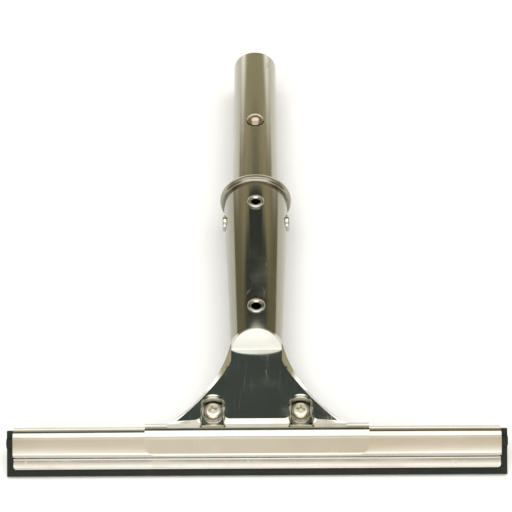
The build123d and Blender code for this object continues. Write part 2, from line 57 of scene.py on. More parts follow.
# ---- Shader maths ------------------------------------------------------------------------
class Signal:
    """A number that varies over a surface, written as ordinary arithmetic."""

    def __init__(self, board: "Board", socket: bpy.types.NodeSocket) -> None:
        """Wrap an output socket.

        Args:
            board: The node board that the socket is on.
            socket: The output to read.
        """
        self.board = board
        self.socket = socket

    def _math(self, operation: str, *values: Any) -> "Signal":
        """Add one Math node.

        Args:
            operation: The node's operation.
            values: Its inputs in order, as signals or numbers.

        Returns:
            The node's result.
        """
        return self.board.add("ShaderNodeMath", {"operation": operation}, *values)

    def __add__(self, other: Any) -> "Signal":
        """Sum."""
        return self._math("ADD", self, other)

    def __radd__(self, other: Any) -> "Signal":
        """Sum with the number first."""
        return self._math("ADD", other, self)

    def __sub__(self, other: Any) -> "Signal":
        """Difference."""
        return self._math("SUBTRACT", self, other)

    def __rsub__(self, other: Any) -> "Signal":
        """Difference with the number first."""
        return self._math("SUBTRACT", other, self)

    def __mul__(self, other: Any) -> "Signal":
        """Product."""
        return self._math("MULTIPLY", self, other)

    def __rmul__(self, other: Any) -> "Signal":
        """Product with the number first."""
        return self._math("MULTIPLY", other, self)

    def __truediv__(self, other: Any) -> "Signal":
        """Quotient."""
        return self._math("DIVIDE", self, other)

    def __rtruediv__(self, other: Any) -> "Signal":
        """Quotient with the number first."""
        return self._math("DIVIDE", other, self)

    def __pow__(self, power: Any) -> "Signal":
        """Power."""
        return self._math("POWER", self, power)

    def __abs__(self) -> "Signal":
        """Size without sign."""
        return self._math("ABSOLUTE", self)

    def atan2(self, other: "Signal") -> "Signal":
        """Angle whose tangent is self over other."""
        return self._math("ARCTAN2", self, other)

    def step(self, low: float, high: float) -> "Signal":
        """Smooth rise from 0 at low to 1 at high.

        Args:
            low: Where the rise starts.
            high: Where it ends.

        Returns:
            The eased value.
        """
        settings = {"interpolation_type": "SMOOTHSTEP", "clamp": True}
        return self.board.add("ShaderNodeMapRange", settings, self, low, high, 0.0, 1.0)


class Board:
    """A node tree being wired for one material or for the studio's surroundings."""

    def __init__(self, tree: bpy.types.NodeTree) -> None:
        """Start on an empty tree.

        Args:
            tree: The tree to fill; its nodes are removed first.
        """
        self.tree = tree
        tree.nodes.clear()

    def add(self, kind: str, settings: dict[str, Any] | None = None, *values: Any,
            output: int | str = 0, **named: Any) -> Signal:
        """Add any node.

        Args:
            kind: The node's type.
            settings: Its own settings, set first. "stops" fills a ramp with (place, colour) pairs.
            values: Links or values for its inputs in order; None leaves one alone.
            output: The output that is handed back.
            named: Links or values for inputs by name, with _ for a space.

        Returns:
            The chosen output.
        """
        node = self.tree.nodes.new(kind)
        for name, value in (settings or {}).items():
            if name == "stops":
                self._fill_ramp(node.color_ramp, value)
            else:
                setattr(node, name, value)
        for index, value in enumerate(values):
            self._feed(node.inputs[index], value)
        for name, value in named.items():
            self._feed(node.inputs[name.replace("_", " ")], value)
        return Signal(self, node.outputs[output]) if node.outputs else Signal(self, None)

    def _feed(self, socket: bpy.types.NodeSocket, value: Any) -> None:
        """Link a signal to a socket, or set the socket's own value."""
        if isinstance(value, Signal):
            self.tree.links.new(value.socket, socket)
        elif value is not None:
            socket.default_value = value

    @staticmethod
    def _fill_ramp(ramp: bpy.types.ColorRamp, stops: Sequence[tuple[float, Sequence[float]]]) -> None:
        """Put stops on a colour ramp."""
        while len(ramp.elements) < len(stops):
            ramp.elements.new(1.0)
        for element, (place, colour) in zip(ramp.elements, stops):
            element.position = place
            element.color = (*colour[:3], 1.0)

    def mix(self, share: Any, low: Any, high: Any) -> Signal:
        """Blend two colours.

        Args:
            share: How much of the second colour shows.
            low: The first colour.
            high: The second colour.

        Returns:
            The blended colour.
        """
        node = self.tree.nodes.new("ShaderNodeMix")
        node.data_type = "RGBA"
        for name, value in (("Factor_Float", share), ("A_Color", low), ("B_Color", high)):
            self._feed(next(s for s in node.inputs if s.identifier == name), value)
        return Signal(self, next(s for s in node.outputs if s.identifier == "Result_Color"))

    def noise(self, place: Signal, scale: float, detail: float = 3.0, roughness: float = 0.55) -> Signal:
        """Soft noise.

        Args:
            place: The coordinates it reads.
            scale: Its features per metre.
            detail: Its octaves.
            roughness: How strong the fine octaves are.

        Returns:
            The noise, about 0 to 1.
        """
        return self.add("ShaderNodeTexNoise", {"noise_dimensions": "3D"}, Vector=place,
                        Scale=scale, Detail=detail, Roughness=roughness)

    def stretched(self, place: Signal, scale: Sequence[float], turn: Sequence[float] = (0, 0, 0)) -> Signal:
        """Coordinates scaled along each axis, for a grain with a direction.

        Args:
            place: The coordinates to change.
            scale: The factor along each axis.
            turn: The turn about each axis, in radians.

        Returns:
            The new coordinates.
        """
        return self.add("ShaderNodeMapping", None, place, None, tuple(turn), tuple(scale))


# ---- Finishes ----------------------------------------------------------------------------
class Grain(Enum):
    """The direction that a piece was polished in, as stretch factors along X, Y and Z."""

    ALONG_BLADE = (0.02, 1.0, 1.0)
    ALONG_HANDLE = (1.0, 0.02, 1.0)
    ROUND_HANDLE = (0.15, 1.0, 0.15)
    NONE = (1.0, 1.0, 1.0)


@dataclass(frozen=True)
class PolishedMetal:
    """Bright metal with a fine polishing grain, hairline scratches and faint finger smudges."""

    name: str
    colour: tuple[float, float, float] = (0.80, 0.785, 0.74)
    roughness: float = 0.09
    grain: Grain = Grain.NONE
    grain_depth: float = 0.02
    grain_scale: float = 2600.0
    scratches: float = 0.12
    smudges: float = 0.07
    tarnish: tuple[float, float, float] = (0.45, 0.415, 0.34)

    def scratch_mask(self, board: Board, place: Signal) -> Signal:
        """Thin random hairlines in three directions.

        Args:
            board: The board to wire on.
            place: Object coordinates.

        Returns:
            1 on a hairline and 0 off it.
        """
        total: Signal | None = None
        for turn, scale in ((0.4, 160.0), (1.5, 210.0), (2.6, 130.0)):
            warped = board.stretched(place, (1.0, 0.035, 0.6), (turn, turn * 0.7, turn))
            cells = board.add("ShaderNodeTexVoronoi", {"feature": "DISTANCE_TO_EDGE"},
                              Vector=warped, Scale=scale, Randomness=1.0)
            lines = 1.0 - cells.step(0.002, 0.012)
            patch = board.noise(board.stretched(place, (1, 1, 1), (turn, 0, 0)), 90.0, 2.0).step(0.55, 0.66)
            part = lines * patch
            total = part if total is None else total + part
        return total

    def build(self) -> bpy.types.Material:
        """Wire the finish.

        Returns:
            The material.
        """
        material = bpy.data.materials.new(self.name)
        material.use_nodes = True
        board = Board(material.node_tree)
        place = board.add("ShaderNodeTexCoord", output="Object")
        brushed = board.noise(board.stretched(place, self.grain.value), self.grain_scale, 4.0, 0.6)
        smudge = board.noise(place, 55.0, 4.0, 0.6).step(0.5, 0.72)
        cloud = board.noise(place, 24.0, 3.0).step(0.35, 0.75)
        scratch = self.scratch_mask(board, place)
        roughness = self.roughness + smudge * self.smudges + brushed * 0.05 + scratch * self.scratches
        colour = board.mix(cloud * 0.35 + smudge * 0.15, (*self.colour, 1), (*self.tarnish, 1))
        height = brushed * self.grain_depth - scratch * 0.12 + board.noise(place, 140.0, 2.0) * 0.02
        normal = board.add("ShaderNodeBump", None, Strength=0.35, Distance=0.00012, Height=height)
        shader = board.add("ShaderNodeBsdfPrincipled", None, Base_Color=colour, Metallic=1.0,
                           Roughness=roughness, Normal=normal)
        board.add("ShaderNodeOutputMaterial", None, shader)
        return material


@dataclass(frozen=True)
class BlackRubber:
    """Matt black rubber with mould bloom and a wiped, slightly shiny edge."""

    name: str = "black_rubber"
    colour: tuple[float, float, float] = (0.005, 0.0065, 0.0045)
    bloom: tuple[float, float, float] = (0.017, 0.020, 0.014)

    def build(self) -> bpy.types.Material:
        """Wire the finish.

        Returns:
            The material.
        """
        material = bpy.data.materials.new(self.name)
        material.use_nodes = True
        board = Board(material.node_tree)
        place = board.add("ShaderNodeTexCoord", output="Object")
        streaks = board.noise(board.stretched(place, (0.05, 1.0, 1.0)), 900.0, 4.0)
        patches = board.noise(place, 120.0, 4.0).step(0.4, 0.75)
        pores = board.noise(place, 5200.0, 2.0)
        colour = board.mix(patches * 0.6 + streaks * 0.25, (*self.colour, 1), (*self.bloom, 1))
        roughness = 0.42 + patches * 0.14 + streaks * 0.1
        normal = board.add("ShaderNodeBump", None, Strength=0.3, Distance=0.0001,
                           Height=pores * 0.5 + streaks * 0.5)
        shader = board.add("ShaderNodeBsdfPrincipled", None, Base_Color=colour, Roughness=roughness,
                           Specular_IOR_Level=0.22, Normal=normal)
        board.add("ShaderNodeOutputMaterial", None, shader)
        return material


class Finishes:
    """The squeegee's finishes, each built once."""

    def __init__(self) -> None:
        """Build them all."""
        self.rubber = BlackRubber().build()
        self.channel = PolishedMetal("channel_steel", colour=(0.56, 0.545, 0.505),
                                     grain=Grain.ALONG_BLADE, grain_depth=0.05).build()
        self.yoke = PolishedMetal("yoke_steel", colour=(0.58, 0.58, 0.55), roughness=0.07,
                                  smudges=0.10).build()
        # sleeve and collar: the yoke's polished steel with a darker base colour, painted shade that darkens
        # their reflections
        self.sleeve = PolishedMetal("sleeve_steel_painted_shade", colour=(0.33, 0.32, 0.265), roughness=0.1,
                                    grain=Grain.ROUND_HANDLE, smudges=0.10,
                                    tarnish=(0.33, 0.29, 0.22)).build()
        self.tube = PolishedMetal("tube_steel", colour=(0.39, 0.375, 0.31), roughness=0.13,
                                  grain=Grain.ALONG_HANDLE, grain_depth=0.06, smudges=0.08).build()
        self.fastener = PolishedMetal("fastener_steel", colour=(0.52, 0.505, 0.46), roughness=0.10).build()
        self.screw = PolishedMetal("screw_steel", colour=(0.82, 0.79, 0.68), roughness=0.34,
                                   tarnish=(0.70, 0.64, 0.50)).build()
        self.button = PolishedMetal("button_steel", colour=(0.46, 0.40, 0.32), roughness=0.2,
                                    tarnish=(0.36, 0.28, 0.2)).build()
        self.spring = PolishedMetal("spring_steel", colour=(0.36, 0.37, 0.39), roughness=0.3,
                                    tarnish=(0.2, 0.18, 0.17)).build()


# ---- Bench: shaping helpers --------------------------------------------------------------
def finish_mesh(bm: bmesh.types.BMesh, name: str, material: bpy.types.Material) -> bpy.types.Object:
    """Close a bmesh into an object at the origin, with outward faces and sharp edges kept.

    Args:
        bm: The shape, in metres in the shared frame. It is freed.
        name: The piece's name.
        material: Its finish.

    Returns:
        The new object.
    """
    bmesh.ops.remove_doubles(bm, verts=bm.verts, dist=WELD)
    bmesh.ops.recalc_face_normals(bm, faces=bm.faces)
    mesh = bpy.data.meshes.new(name)
    bm.to_mesh(mesh)
    bm.free()
    for polygon in mesh.polygons:
        polygon.use_smooth = True
    mesh.set_sharp_from_angle(angle=SHARP_ANGLE)
    mesh.materials.append(material)
    piece = bpy.data.objects.new(name, mesh)
    bpy.context.scene.collection.objects.link(piece)
    return piece


def apply_modifiers(piece: bpy.types.Object) -> None:
    """Turn a piece's modifiers into mesh.

    Args:
        piece: The piece to settle.
    """
    graph = bpy.context.evaluated_depsgraph_get()
    settled = bpy.data.meshes.new_from_object(piece.evaluated_get(graph))
    old = piece.data
    piece.modifiers.clear()
    piece.data = settled
    settled.name = piece.name
    bpy.data.meshes.remove(old)
    for polygon in settled.polygons:
        polygon.use_smooth = True
    settled.set_sharp_from_angle(angle=SHARP_ANGLE)


def cut(piece: bpy.types.Object, cutters: Iterable[bpy.types.Object], operation: str = "DIFFERENCE") -> None:
    """Cut a piece with others, which are used up.

    Args:
        piece: The piece that stays.
        cutters: The shapes that cut it or join it.
        operation: The Boolean operation.
    """
    cutters = list(cutters)
    for cutter in cutters:
        boolean = piece.modifiers.new("cut", "BOOLEAN")
        boolean.operation = operation
        boolean.solver = "EXACT"
        boolean.object = cutter
    apply_modifiers(piece)
    for cutter in cutters:
        bpy.data.objects.remove(cutter)


def lathe(profile: Sequence[tuple[float, float]], centre: Vector, axis: Vector,
          steps: int = LATHE_STEPS) -> bmesh.types.BMesh:
    """Spin a closed profile into a full turned shape.

    Args:
        profile: Points as (distance along the axis, radius), in metres.
        centre: The point that distances are measured from.
        axis: The unit direction of the axis.
        steps: The segments of the turn.

    Returns:
        The turned shape.
    """
    side = axis.orthogonal().normalized()
    bm = bmesh.new()
    points = [bm.verts.new(centre + axis * along + side * max(radius, 0.0)) for along, radius in profile]
    edges = [bm.edges.new(pair) for pair in zip(points, points[1:] + points[:1])]
    bmesh.ops.spin(bm, geom=points + edges, cent=centre, axis=axis, angle=2 * pi, steps=steps,
                   use_merge=True, use_duplicate=False)
    bmesh.ops.remove_doubles(bm, verts=bm.verts, dist=WELD)
    bmesh.ops.dissolve_degenerate(bm, dist=WELD, edges=bm.edges)
    return bm


def rounded(corners: Sequence[tuple[float, float, float]], segments: int = 6) -> list[tuple[float, float]]:
    """Round the corners of a closed profile with arcs.

    Args:
        corners: Points as (along, radius, corner radius).
        segments: The segments of each arc.

    Returns:
        The profile's points with each rounded corner as an arc.
    """
    points: list[tuple[float, float]] = []
    count = len(corners)
    for index, (x, y, bend) in enumerate(corners):
        here = Vector((x, y))
        before = (Vector(corners[index - 1][:2]) - here).normalized()
        after = (Vector(corners[(index + 1) % count][:2]) - here).normalized()
        if bend <= 0:
            points.append((x, y))
            continue
        half = before.angle(after) / 2
        centre = here + (before + after).normalized() * (bend / sin(half))
        reach = sqrt((bend / sin(half)) ** 2 - bend**2)
        first, last = here + before * reach - centre, here + after * reach - centre
        turn = first.angle_signed(last)
        for part in range(segments + 1):
            spoke = first.copy()
            spoke.rotate(Matrix.Rotation(-turn * part / segments, 2))
            points.append(tuple(centre + spoke))
    return points


def sweep(bm: bmesh.types.BMesh, faces: Sequence[bmesh.types.BMFace], travel: Sequence[float]) -> None:
    """Sweep faces in a straight line into a solid, with the first faces kept as its near end.

    Args:
        bm: The shape that holds the faces.
        faces: The faces to sweep.
        travel: How far they go.
    """
    moved = bmesh.ops.extrude_face_region(bm, geom=list(faces), use_keep_orig=True)["geom"]
    bmesh.ops.translate(bm, verts=[v for v in moved if isinstance(v, bmesh.types.BMVert)], vec=travel)


def rod(centre: Vector, axis: Vector, radius: float, length: float,
        steps: int = SMALL_STEPS) -> bpy.types.Object:
    """Plain cylinder used as a cutter, from a point along an axis.

    Args:
        centre: Its start.
        axis: Its unit direction.
        radius: Its radius.
        length: Its length.
        steps: Its sides.

    Returns:
        The cutter.
    """
    bm = bmesh.new()
    turn = axis.to_track_quat("Z", "Y").to_matrix().to_4x4()
    place = Matrix.Translation(centre + axis * (length / 2)) @ turn
    bmesh.ops.create_cone(bm, cap_ends=True, segments=steps, radius1=radius, radius2=radius, depth=length,
                          matrix=place)
    return finish_mesh(bm, "cutter", bpy.data.materials.get("spring_steel"))


def seat(piece: bpy.types.Object, body: str, slot: str, *nodes: str) -> None:
    """Hand a finished piece over to the frame.

    Args:
        piece: The finished piece.
        body: The body that it rides on.
        slot: The record's material slot that it stands for; not used.
        nodes: The CAD nodes that it replaces.
    """
    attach(piece, body)
    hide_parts(*nodes)
    LOG.info("%s rides on %s, %d faces", piece.name, body, len(piece.data.polygons))


def dress(node: str, material: bpy.types.Material) -> None:
    """Give a CAD node a finish.

    Args:
        node: The node's name.
        material: The finish.
    """
    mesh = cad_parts[node].data
    mesh.materials.clear()
    mesh.materials.append(material)
    LOG.info("%s keeps its CAD shape", node)


# ---- Blade -------------------------------------------------------------------------------
@dataclass
class BladeLine:
    """The blade's own axes: along the edge, up the blade and out of its front face."""

    angle: float = radians(42)
    thickness: float = 1.9 * MM
    edge: Vector = field(init=False)
    up: Vector = field(init=False)
    out: Vector = field(init=False)

    def __post_init__(self) -> None:
        """Find the middle of the wiping edge from the rubber's box."""
        low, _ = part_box("rubber_blade")
        half = self.thickness / 2
        self.up = Vector((0, cos(self.angle), sin(self.angle)))
        self.out = Vector((0, -sin(self.angle), cos(self.angle)))
        self.edge = Vector((0, low.y + half * sin(self.angle), low.z + half * cos(self.angle)))

    def at(self, along: float, height: float, depth: float) -> Vector:
        """Point in the shared frame.

        Args:
            along: Distance along the blade from its middle.
            height: Height up the blade from the wiping edge.
            depth: Distance out of the blade's middle plane.

        Returns:
            The point.
        """
        return self.edge + Vector((along, 0, 0)) + self.up * height + self.out * depth

    def matrix(self) -> Matrix:
        """Matrix that takes (along, depth, height) to the shared frame."""
        columns = (Vector((1, 0, 0)), self.out, self.up)
        turn = Matrix([[column[row] for column in columns] for row in range(3)]).to_4x4()
        return Matrix.Translation(self.edge) @ turn


@dataclass
class WipingBlade:
    """The rubber strip and the metal channel that holds it."""

    line: BladeLine
    finishes: Finishes
    rubber_height: float = 19.1 * MM
    bead_radius: float = 2.6 * MM
    channel_bottom: float = 3.1 * MM
    lip_height: float = 4.7 * MM
    bulb_height: float = 12.5 * MM
    bulb_thickness: float = 9.0 * MM
    wall: float = 0.9 * MM
    slot: float = 2.2 * MM
    corner: float = 1.7 * MM
    turn_radius: float = 2.4 * MM
    flare: float = 1.2 * MM
    lip_edge: float = 0.55 * MM
    lip_bend: float = 0.7 * MM
    slot_edge: float = 0.2 * MM
    edge_break: float = 0.12 * MM
    bead_steps: int = 64

    def bulb_middle(self) -> float:
        """Height of the bulb's middle."""
        return self.channel_bottom + self.lip_height + self.bulb_height / 2

    def rubber(self) -> bpy.types.Object:
        """Strip with a round bead, its edges slightly broken."""
        low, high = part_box("rubber_blade")
        length = high.x - low.x
        bm = bmesh.new()
        half = self.line.thickness / 2
        bmesh.ops.create_circle(bm, segments=self.bead_steps, radius=self.bead_radius)
        bmesh.ops.rotate(bm, verts=bm.verts, cent=(0, 0, 0), matrix=Matrix.Rotation(pi / 2, 3, "Y"))
        bmesh.ops.translate(bm, verts=bm.verts, vec=(0, 0, self.bulb_middle()))
        for height in (1, -1):
            ring = [v for v in bm.verts if abs(v.co.y) < half and (v.co.z - self.bulb_middle()) * height > 0]
            bmesh.ops.delete(bm, geom=ring, context="VERTS")
        bm.verts.ensure_lookup_table()
        for vert in [v for v in bm.verts if len(v.link_edges) == 1]:
            end = self.rubber_height if vert.co.z > self.bulb_middle() else 0.0
            side = 1 if vert.co.y > 0 else -1
            root = bm.verts.new((0, side * half, vert.co.z))
            tip = bm.verts.new((0, side * half, end))
            bm.edges.new((vert, root))
            bm.edges.new((root, tip))
        tips = sorted((v for v in bm.verts if len(v.link_edges) == 1), key=lambda v: v.co.z)
        for pair in (tips[:2], tips[2:]):
            bm.edges.new(pair)
        face = bmesh.ops.contextual_create(bm, geom=bm.edges[:])["faces"]
        bmesh.ops.translate(bm, verts=bm.verts, vec=(-length / 2, 0, 0))
        sweep(bm, face, (length, 0, 0))
        rims = [e for e in bm.edges if len(e.link_faces) == 2 and e.calc_face_angle(0) > radians(60)]
        bmesh.ops.bevel(bm, geom=rims, offset=self.edge_break, segments=2, profile=0.5, affect="EDGES",
                        material=-1, clamp_overlap=True)
        bm.transform(self.line.matrix())
        return finish_mesh(bm, "rubber_strip", self.finishes.rubber)

    def crown(self, radius: float, steps: int = 40) -> list[tuple[float, float]]:
        """Half circle of the bulb's round top, from its front side to its rear side.

        Args:
            radius: Its radius.
            steps: Its segments.

        Returns:
            Points as (depth, height).
        """
        centre = self.channel_bottom + self.lip_height + self.bulb_height - self.bulb_thickness / 2
        return [(radius * cos(pi * part / steps), centre + radius * sin(pi * part / steps))
                for part in range(1, steps)]

    def channel_section(self) -> list[tuple[float, float]]:
        """Section of the bent sheet: hemmed lips, tight lower corners and a round top."""
        bottom, root = self.channel_bottom, self.channel_bottom + self.lip_height
        half, gap = self.bulb_thickness / 2, self.slot / 2
        lip = gap + self.wall
        inner, floor = half - self.wall, root + self.wall
        crown_foot = root + self.bulb_height - half
        front = [(gap, bottom, self.slot_edge), (lip + self.flare, bottom, self.lip_edge),
                 (lip, root, self.lip_bend), (half, root, self.turn_radius), (half, crown_foot, 0)]
        cavity = [(inner, crown_foot, 0), (inner, floor, self.turn_radius - self.wall),
                  (gap, floor, self.slot_edge)]
        outer = rounded([*front, (0, crown_foot + half, 0)], 10)[:-1]
        hollow = rounded([*cavity, (gap, bottom, 0)], 8)[:-1]
        mirrored = [(-depth, height) for depth, height in reversed(outer)]
        inside = [(-depth, height) for depth, height in reversed(hollow)]
        ceiling = list(reversed(self.crown(inner)))
        return [*outer, *self.crown(half), *mirrored, *inside, *ceiling, *hollow]

    def channel(self) -> bpy.types.Object:
        """Sheet bent into a bulb with two lips, the lips' ends rounded."""
        low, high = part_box("channel")
        length = high.x - low.x
        piece = self.extruded("bent_channel", self.channel_section(), length)
        rim = piece.modifiers.new("rim", "BEVEL")
        rim.width = self.edge_break
        rim.segments = 2
        rim.limit_method = "ANGLE"
        rim.angle_limit = radians(50)
        apply_modifiers(piece)
        bottom, top = self.channel_bottom, self.channel_bottom + 2 * self.bulb_height
        panel = rounded([(-length / 2, bottom, self.corner), (length / 2, bottom, self.corner),
                         (length / 2, top, 0), (-length / 2, top, 0)], 10)
        bm = bmesh.new()
        depth = self.bulb_thickness
        face = bm.faces.new([bm.verts.new((along, -depth, height)) for along, height in panel])
        sweep(bm, [face], (0, 2 * depth, 0))
        bm.transform(self.line.matrix())
        cut(piece, [finish_mesh(bm, "panel", self.finishes.channel)], "INTERSECT")
        return piece

    def extruded(self, name: str, section: Sequence[tuple[float, float]], length: float) -> bpy.types.Object:
        """Run a closed section along the blade.

        Args:
            name: The piece's name.
            section: Points as (depth, height).
            length: The piece's length.

        Returns:
            The piece.
        """
        bm = bmesh.new()
        face = bm.faces.new([bm.verts.new((-length / 2, depth, height)) for depth, height in section])
        sweep(bm, [face], (length, 0, 0))
        bm.transform(self.line.matrix())
        return finish_mesh(bm, name, self.finishes.channel)

    def make(self) -> None:
        """Build and seat the blade's pieces."""
        seat(self.rubber(), "blade", "rubber", "rubber_blade")
        seat(self.channel(), "channel", "polished_steel", "channel")
        for side in ("left", "right"):
            dress(f"end_clip_{side}", self.finishes.spring)


# ---- Yoke --------------------------------------------------------------------------------
@dataclass
class Yoke:
    """The two jaws that clamp the channel, with their screws and nuts."""

    finishes: Finishes
    edge_break: float = 0.22 * MM
    shank: float = 2.0 * MM
    shank_tip: float = 0.4 * MM
    head_height: float = 3.1 * MM
    head_crown: float = 1.9 * MM
    head_foot: float = 0.25 * MM
    recess: tuple[float, float, float] = (4.7 * MM, 1.15 * MM, 3.6 * MM)
    recess_taper: tuple[float, float, float] = (0.55, 0.8, 1.0)

    def softened(self, node: str, name: str) -> bpy.types.Object:
        """Copy of a CAD piece with merged faces and softly broken edges.

        Args:
            node: The CAD node to copy.
            name: The new piece's name.

        Returns:
            The new piece.
        """
        bm = bmesh.new()
        bm.from_mesh(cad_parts[node].data)
        bmesh.ops.remove_doubles(bm, verts=bm.verts, dist=2e-6)
        bmesh.ops.dissolve_degenerate(bm, dist=1e-6, edges=bm.edges)
        bmesh.ops.dissolve_limit(bm, angle_limit=radians(0.5), verts=bm.verts, edges=bm.edges,
                                 use_dissolve_boundaries=False, delimit=set())
        piece = finish_mesh(bm, name, self.finishes.yoke)
        soften = piece.modifiers.new("soften", "BEVEL")
        soften.width = self.edge_break
        soften.segments = 3
        soften.limit_method = "ANGLE"
        soften.angle_limit = radians(20)
        even = piece.modifiers.new("even", "WEIGHTED_NORMAL")
        even.keep_sharp = True
        return piece

    def screw(self, side: str) -> bpy.types.Object:
        """Pan-head screw with a crowned head and a cross recess.

        Args:
            side: left or right.

        Returns:
            The screw.
        """
        low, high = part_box(f"clamp_screw_{side}")
        middle = (low + high) / 2
        radius = (high.x - low.x) / 2
        top = high.z - low.z
        seat_height = top - self.head_height
        profile = rounded([(0, 0, 0), (0, self.shank, self.shank_tip), (seat_height, self.shank, 0),
                           (seat_height, radius, self.head_foot), (top, radius, self.head_crown),
                           (top, 0, 0)], 8)
        base = Vector((middle.x, middle.y, low.z))
        piece = finish_mesh(lathe(profile, base, Vector((0, 0, 1))), f"pan_head_screw_{side}",
                            self.finishes.screw)
        cutters = []
        turn = 0.35 if side == "left" else -0.2
        for quarter in (0.0, pi / 2):
            bm = bmesh.new()
            bmesh.ops.create_cube(bm, size=1.0)
            bmesh.ops.scale(bm, vec=self.recess, verts=bm.verts)
            tips = [v for v in bm.verts if v.co.z < 0]
            bmesh.ops.scale(bm, vec=self.recess_taper, verts=tips)
            bmesh.ops.rotate(bm, verts=bm.verts, cent=(0, 0, 0),
                             matrix=Matrix.Rotation(quarter + turn, 3, "Z"))
            bmesh.ops.translate(bm, verts=bm.verts, vec=(middle.x, middle.y, high.z))
            cutters.append(finish_mesh(bm, "cross", self.finishes.screw))
        cut(piece, cutters)
        return piece

    def make(self) -> None:
        """Build and seat the yoke's pieces."""
        seat(self.softened("front_jaw", "front_yoke"), "handle", "polished_steel", "front_jaw")
        seat(self.softened("rear_jaw", "rear_clamp"), "rear_jaw", "polished_steel", "rear_jaw")
        for side in ("left", "right"):
            seat(self.screw(side), f"{side}_screw", "screw_steel", f"clamp_screw_{side}")
            dress(f"clamp_nut_{side}", self.finishes.fastener)


# ---- Handle ------------------------------------------------------------------------------
@dataclass
class Handle:
    """Tapered sleeve, collar, spigot, rivets and snap button."""

    finishes: Finishes
    sleeve_small: float = 11.2 * MM
    sleeve_large: float = 15.2 * MM
    sleeve_wall: float = 1.2 * MM
    tube_wall: float = 1.2 * MM
    rivet_hole: float = 2.95 * MM
    rivet_rim: float = 3.9 * MM
    rivet_shank: float = 2.9 * MM
    rivet_eye: float = 2.0 * MM
    button_hole: float = 4.3 * MM
    button_stem: float = 4.0 * MM
    button_rise: float = 2.2 * MM
    button_flange: float = 1.0 * MM
    bush_gap: float = 0.05 * MM
    sleeve_gap: float = 0.1 * MM
    along: Vector = field(default_factory=lambda: Vector((0, 1, 0)))

    def __post_init__(self) -> None:
        """Read the handle's stations from the frame."""
        tube_low, tube_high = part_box("spigot_tube")
        self.axis_height = (tube_low.z + tube_high.z) / 2
        self.tube = (tube_low.y, tube_high.y)
        self.tube_radius = (tube_high.x - tube_low.x) / 2
        self.sleeve = (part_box("handle_sleeve")[0].y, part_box("handle_sleeve")[1].y)
        collar_low, collar_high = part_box("collar")
        self.collar = (collar_low.y, collar_high.y)
        self.collar_radius = (collar_high.x - collar_low.x) / 2

    def axis_point(self, station: float) -> Vector:
        """Point of the handle's axis at a station."""
        return Vector((0, station, self.axis_height))

    def sleeve_radius(self, station: float) -> float:
        """Outer radius of the sleeve at a station."""
        share = (station - self.sleeve[0]) / (self.sleeve[1] - self.sleeve[0])
        return self.sleeve_small + share * (self.sleeve_large - self.sleeve_small)

    def turned(self, name: str, corners: Sequence[tuple[float, float, float]],
               material: bpy.types.Material) -> bpy.types.Object:
        """Turn a piece about the handle's axis.

        Args:
            name: The piece's name.
            corners: Profile as (station, radius, corner radius).
            material: The finish.

        Returns:
            The piece.
        """
        return finish_mesh(lathe(rounded(corners), self.axis_point(0), self.along), name, material)

    def outward(self, node: str) -> Vector:
        """Direction from the handle's axis to a rivet or button."""
        low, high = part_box(node)
        middle = (low + high) / 2
        away = Vector((middle.x, 0, middle.z - self.axis_height))
        return away.normalized()

    def station(self, node: str) -> float:
        """Station of a piece's middle."""
        low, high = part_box(node)
        return (low.y + high.y) / 2

    def window_names(self) -> list[str]:
        """The window rivets' nodes."""
        return [f"window_rivet_{side}" for side in ("front", "right", "rear", "left")]

    def holes(self, nodes: Iterable[str], radius: float) -> list[bpy.types.Object]:
        """Radial cutters, one at each named rivet or button.

        Args:
            nodes: The nodes that mark the places.
            radius: The hole's radius.

        Returns:
            The cutters.
        """
        start = 2 * MM
        reach = self.collar_radius + start
        return [rod(self.axis_point(self.station(n)) + self.outward(n) * start, self.outward(n),
                    radius, reach) for n in nodes]

    def make_sleeve(self) -> None:
        """Tapered sleeve with rolled edges and rivet holes."""
        low, high = self.sleeve
        wall = self.sleeve_wall
        corners = [(low, self.sleeve_small, 0.35 * MM), (high, self.sleeve_large, 0.4 * MM),
                   (high, self.sleeve_large - wall, 0.3 * MM), (low, self.sleeve_small - wall, 0.3 * MM)]
        piece = self.turned("tapered_sleeve", corners, self.finishes.sleeve)
        cut(piece, self.holes([*self.window_names(), "lower_rivet"], self.rivet_hole))
        seat(piece, "handle", "polished_steel", "handle_sleeve")

    def make_collar(self) -> None:
        """Collar with a rounded flange, a fine groove and a second bead."""
        back, face = self.collar
        mouth = self.sleeve[1]
        bore = self.tube_radius + self.bush_gap
        radius = self.collar_radius
        body_back = self.sleeve_radius(back) - self.sleeve_wall - self.sleeve_gap
        body_mouth = self.sleeve_radius(mouth) - self.sleeve_wall - self.sleeve_gap
        corners = [(back, bore, 0), (back, body_back, 0), (mouth, body_mouth, 0),
                   (mouth, radius - 0.7 * MM, 0.5 * MM), (mouth + 1.15 * MM, radius, 0.55 * MM),
                   (mouth + 1.45 * MM, radius - 0.5 * MM, 0.12 * MM), (mouth + 1.75 * MM, radius, 0.5 * MM),
                   (face, radius - 0.1 * MM, 1.8 * MM), (face, bore + 1.1 * MM, 0.5 * MM),
                   (face - 0.35 * MM, bore + 0.6 * MM, 0.15 * MM), (face - 0.35 * MM, bore, 0.1 * MM)]
        piece = self.turned("flanged_collar", corners, self.finishes.sleeve)
        cut(piece, self.holes(self.window_names(), self.rivet_hole))
        seat(piece, "handle", "polished_steel", "collar")

    def make_tube(self) -> None:
        """Straight spigot with a rolled end, rivet holes and the button's hole."""
        low, high = self.tube
        bore = self.tube_radius - self.tube_wall
        corners = [(low, self.tube_radius, 0.2 * MM), (high, self.tube_radius, 0.5 * MM),
                   (high, bore, 0.4 * MM), (low, bore, 0.2 * MM)]
        piece = self.turned("pole_spigot", corners, self.finishes.tube)
        cut(piece, self.holes(self.window_names(), self.rivet_hole)
            + self.holes(["snap_button"], self.button_hole))
        seat(piece, "handle", "tube_steel", "spigot_tube")

